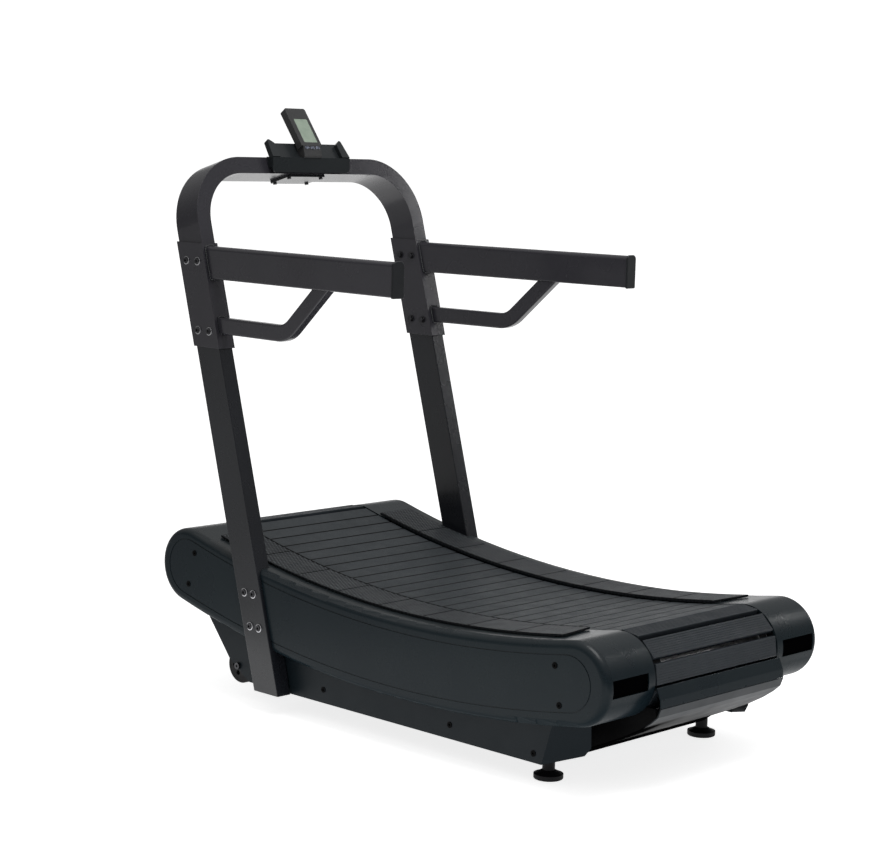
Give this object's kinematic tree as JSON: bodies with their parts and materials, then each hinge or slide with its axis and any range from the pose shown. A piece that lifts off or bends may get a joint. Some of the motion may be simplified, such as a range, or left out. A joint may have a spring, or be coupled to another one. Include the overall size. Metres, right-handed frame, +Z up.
{
  "type": "curved manual treadmill",
  "caption": "Motorless curved treadmill: slatted belt over two drums in a sagging frame, foot rails, leaning uprights with hoop, handrails, console, transport wheels and levelling feet.",
  "frame": {"origin": "on the floor under the middle of the machine", "axes": "+Y forward towards the console, +X the user's right, +Z up"},
  "size_m": [1.0228, 1.7855, 1.753],
  "materials": {
    "black_powder_coat": "satin black powder coat",
    "cover_plastic": "moulded charcoal plastic, semi gloss",
    "deck_plastic": "moulded charcoal plastic, lighter shoulder strip",
    "slat_rubber": "ribbed grey slat surface",
    "belt_rubber": "reinforced toothless belt",
    "tread_plastic": "ribbed foot rail tread",
    "skirt_plastic": "moulded black plastic",
    "bare_steel": "machined steel",
    "zinc_steel": "zinc plated fastener",
    "cast_alloy": "turned aluminium pulley",
    "bearing_steel": "ball bearing",
    "tyre_rubber": "solid transport wheel",
    "foot_rubber": "levelling foot",
    "console_plastic": "grey moulded plastic",
    "tray_plastic": "dark grey moulded plastic",
    "lcd": "grey-green display window",
    "button": "silver key"
  },
  "bodies": {
    "machine": {"slat_belts": "belt_rubber", "bearing_blocks": "black_powder_coat", "support_bearings": "bearing_steel", "bearing_studs": "zinc_steel", "side_frame_left": "black_powder_coat", "side_frame_right": "black_powder_coat", "cross_tubes": "black_powder_coat", "base_tubes": "black_powder_coat", "side_cover_left": "cover_plastic", "side_cover_right": "cover_plastic", "front_hood": "cover_plastic", "rear_cover_left": "cover_plastic", "rear_cover_right": "cover_plastic", "rear_recess_inserts": "skirt_plastic", "top_decks": "deck_plastic", "foot_rail_left": "tread_plastic", "foot_rail_right": "tread_plastic", "lower_skirt_left": "skirt_plastic", "lower_skirt_right": "skirt_plastic", "rear_tray": "cover_plastic", "rear_lip_panel": "cover_plastic", "front_pan": "skirt_plastic", "upright_left": "black_powder_coat", "upright_right": "black_powder_coat", "hoop": "black_powder_coat", "sleeves": "black_powder_coat", "sleeve_bolts": "zinc_steel", "base_bolts": "zinc_steel", "upright_mounts": "black_powder_coat", "upright_plugs": "skirt_plastic", "handrail_left": "black_powder_coat", "handrail_right": "black_powder_coat", "handrail_caps": "skirt_plastic", "braces": "black_powder_coat", "console_tray": "tray_plastic", "console_housing": "console_plastic", "console_lens": "lcd", "console_clamp": "black_powder_coat", "console_clamp_screws": "zinc_steel", "wheel_axles": "zinc_steel", "wheel_brackets": "black_powder_coat", "cover_screws": "zinc_steel"},
    "top_run": {"slats_top_run": "slat_rubber"},
    "front_wrap": {"slats_front": "slat_rubber"},
    "return_run": {"slats_return_run": "slat_rubber"},
    "rear_wrap": {"slats_rear": "slat_rubber"},
    "front_drum": {"front_shaft": "bare_steel", "front_pulleys": "cast_alloy"},
    "rear_drum": {"rear_shaft": "bare_steel", "rear_pulleys": "cast_alloy"},
    "wheel_left": {"wheel_left": "tyre_rubber"},
    "wheel_right": {"wheel_right": "tyre_rubber"},
    "rear_foot_left": {"rear_foot_left": "foot_rubber"},
    "rear_foot_right": {"rear_foot_right": "foot_rubber"},
    "front_foot_left": {"front_foot_left": "foot_rubber"},
    "front_foot_right": {"front_foot_right": "foot_rubber"},
    "button_left": {"console_button_left": "button"},
    "button_middle": {"console_button_middle": "button"},
    "button_right": {"console_button_right": "button"}
  },
  "joints": [
    {"name": "belt_travel", "type": "hinge", "parent": "machine", "child": "top_run", "pos_m": [0, -0.15945, 3.82008], "axis": [1, 0, 0], "range_deg": [-0.5, 0.5]},
    {"name": "belt_front_wrap", "type": "hinge", "parent": "machine", "child": "front_wrap", "pos_m": [0, 0.7685, 0.379], "axis": [1, 0, 0], "range_deg": [-18.5, 18.5]},
    {"name": "belt_return", "type": "hinge", "parent": "machine", "child": "return_run", "pos_m": [0, -0.24709, 5.73066], "axis": [1, 0, 0], "range_deg": [-0.32, 0.32]},
    {"name": "belt_rear_wrap", "type": "hinge", "parent": "machine", "child": "rear_wrap", "pos_m": [0, -0.7685, 0.3085], "axis": [1, 0, 0], "range_deg": [-18.5, 18.5]},
    {"name": "front_drum_spin", "type": "hinge", "parent": "machine", "child": "front_drum", "pos_m": [0, 0.7685, 0.379], "axis": [1, 0, 0], "continuous": true},
    {"name": "rear_drum_spin", "type": "hinge", "parent": "machine", "child": "rear_drum", "pos_m": [0, -0.7685, 0.3085], "axis": [1, 0, 0], "continuous": true},
    {"name": "wheel_left_spin", "type": "hinge", "parent": "machine", "child": "wheel_left", "pos_m": [-0.391, 0.571, 0.101], "axis": [1, 0, 0], "continuous": true},
    {"name": "wheel_right_spin", "type": "hinge", "parent": "machine", "child": "wheel_right", "pos_m": [0.391, 0.571, 0.101], "axis": [1, 0, 0], "continuous": true},
    {"name": "rear_foot_left_level", "type": "slide", "parent": "machine", "child": "rear_foot_left", "axis": [0, 0, 1], "range_m": [-0.01, 0.015]},
    {"name": "rear_foot_right_level", "type": "slide", "parent": "machine", "child": "rear_foot_right", "axis": [0, 0, 1], "range_m": [-0.01, 0.015]},
    {"name": "front_foot_left_level", "type": "slide", "parent": "machine", "child": "front_foot_left", "axis": [0, 0, 1], "range_m": [-0.01, 0.015]},
    {"name": "front_foot_right_level", "type": "slide", "parent": "machine", "child": "front_foot_right", "axis": [0, 0, 1], "range_m": [-0.01, 0.015]},
    {"name": "button_left_press", "type": "slide", "parent": "machine", "child": "button_left", "axis": [0, 0.9545, -0.2982], "range_m": [0, 0.001], "stiffness_N_per_m": 600, "springref_m": -0.0003},
    {"name": "button_middle_press", "type": "slide", "parent": "machine", "child": "button_middle", "axis": [0, 0.9545, -0.2982], "range_m": [0, 0.001], "stiffness_N_per_m": 600, "springref_m": -0.0003},
    {"name": "button_right_press", "type": "slide", "parent": "machine", "child": "button_right", "axis": [0, 0.9545, -0.2982], "range_m": [0, 0.001], "stiffness_N_per_m": 600, "springref_m": -0.0003}
  ],
  "couplings": [
    {"joint": "belt_return", "follows": "belt_travel", "ratio": -0.62626},
    {"joint": "belt_front_wrap", "follows": "belt_travel", "ratio": -36.971},
    {"joint": "belt_rear_wrap", "follows": "belt_travel", "ratio": -36.971},
    {"joint": "front_drum_spin", "follows": "belt_travel", "ratio": -36.971},
    {"joint": "rear_drum_spin", "follows": "belt_travel", "ratio": -36.971}
  ]
}
